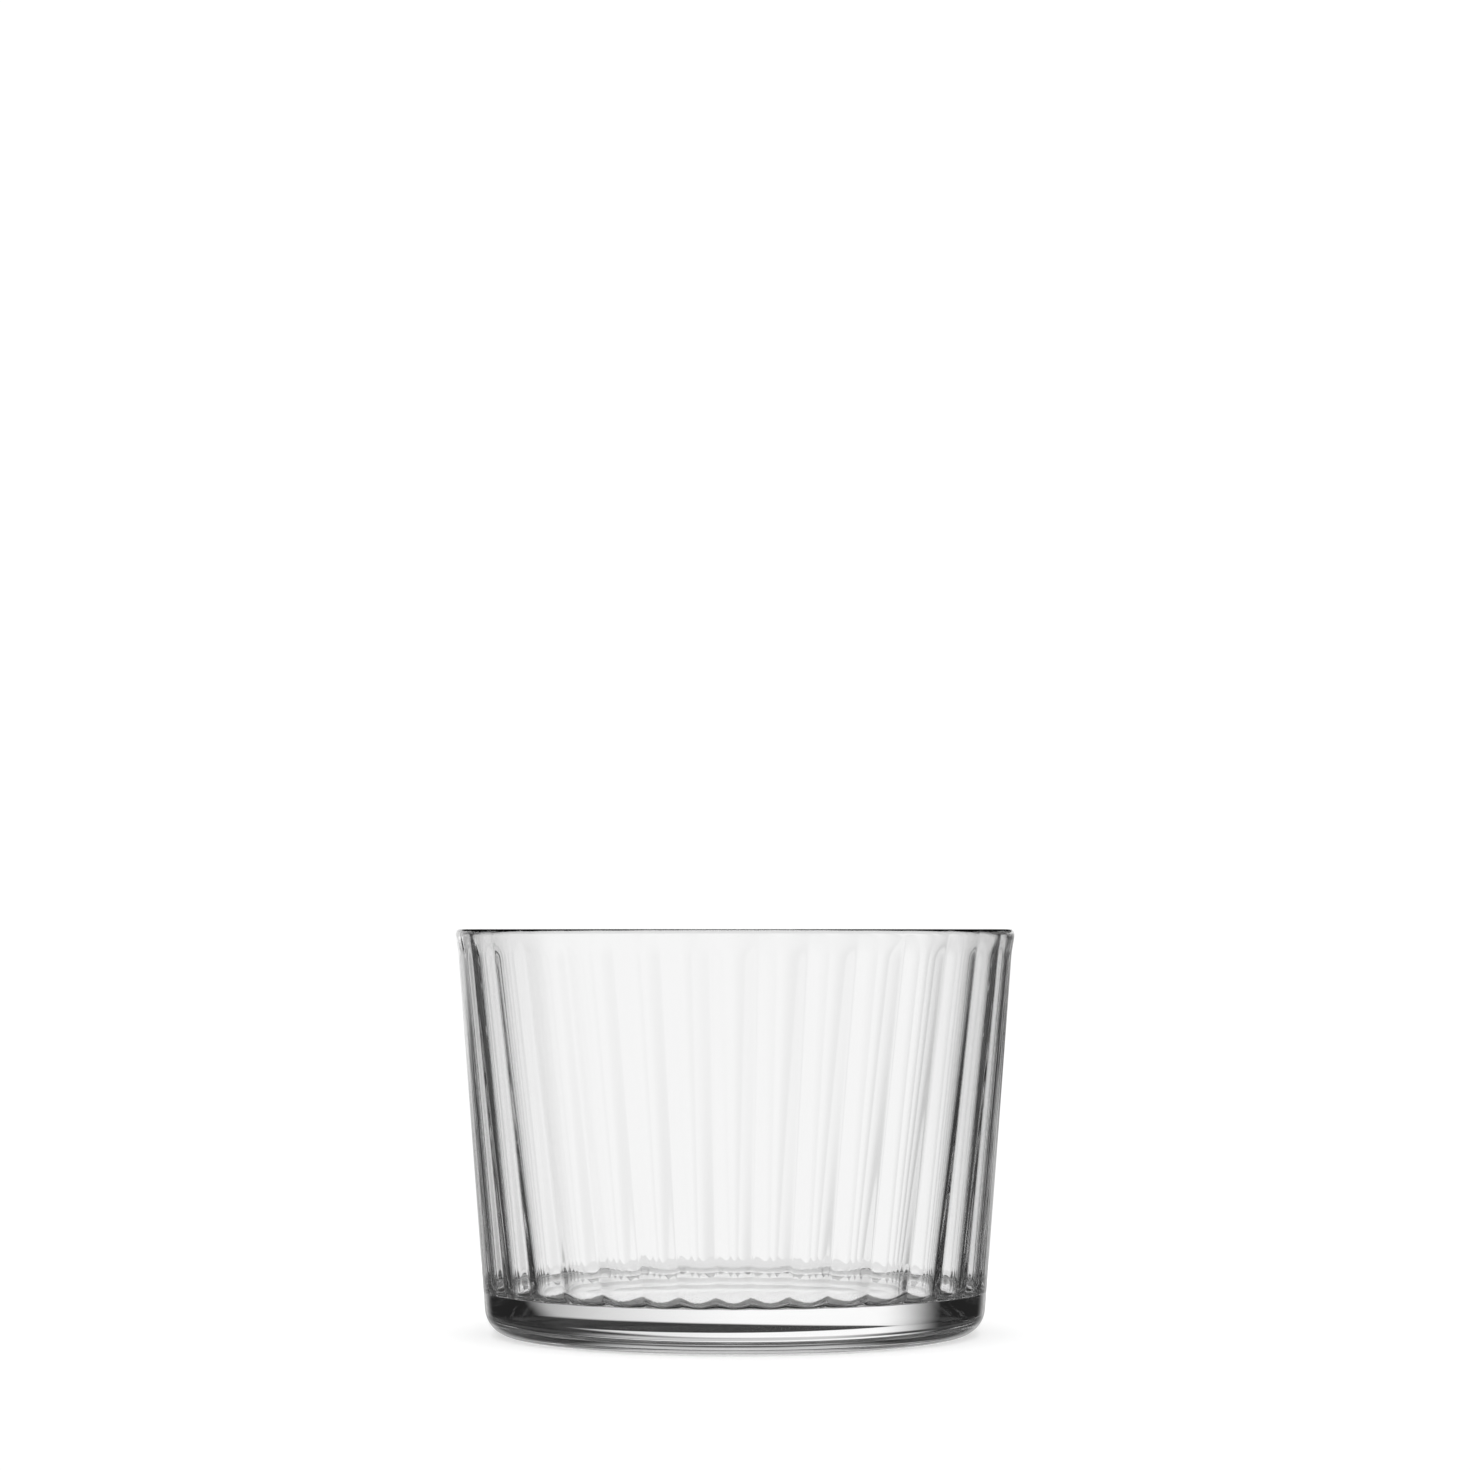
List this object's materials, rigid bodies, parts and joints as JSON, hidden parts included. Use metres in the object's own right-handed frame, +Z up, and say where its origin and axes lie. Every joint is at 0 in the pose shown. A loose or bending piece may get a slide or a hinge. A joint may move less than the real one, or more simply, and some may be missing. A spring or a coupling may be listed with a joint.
{
  "type": "juice glass",
  "caption": "Low, wide clear juice glass with a thick rounded base, a straight tapered side, shallow flutes inside the wall and a thin fire-polished lip.",
  "frame": {"origin": "centre of the standing face, on the table", "axes": "+Z up along the axis of the glass, from the base to the lip; -Y towards the viewer of the picture"},
  "size_m": [0.0832, 0.0832, 0.06],
  "materials": {
    "clear_glass": "clear, colourless, smooth and fire polished"
  },
  "bodies": {
    "root": {"base": "clear_glass", "fluted_wall": "clear_glass", "rim": "clear_glass"}
  },
  "joints": []
}
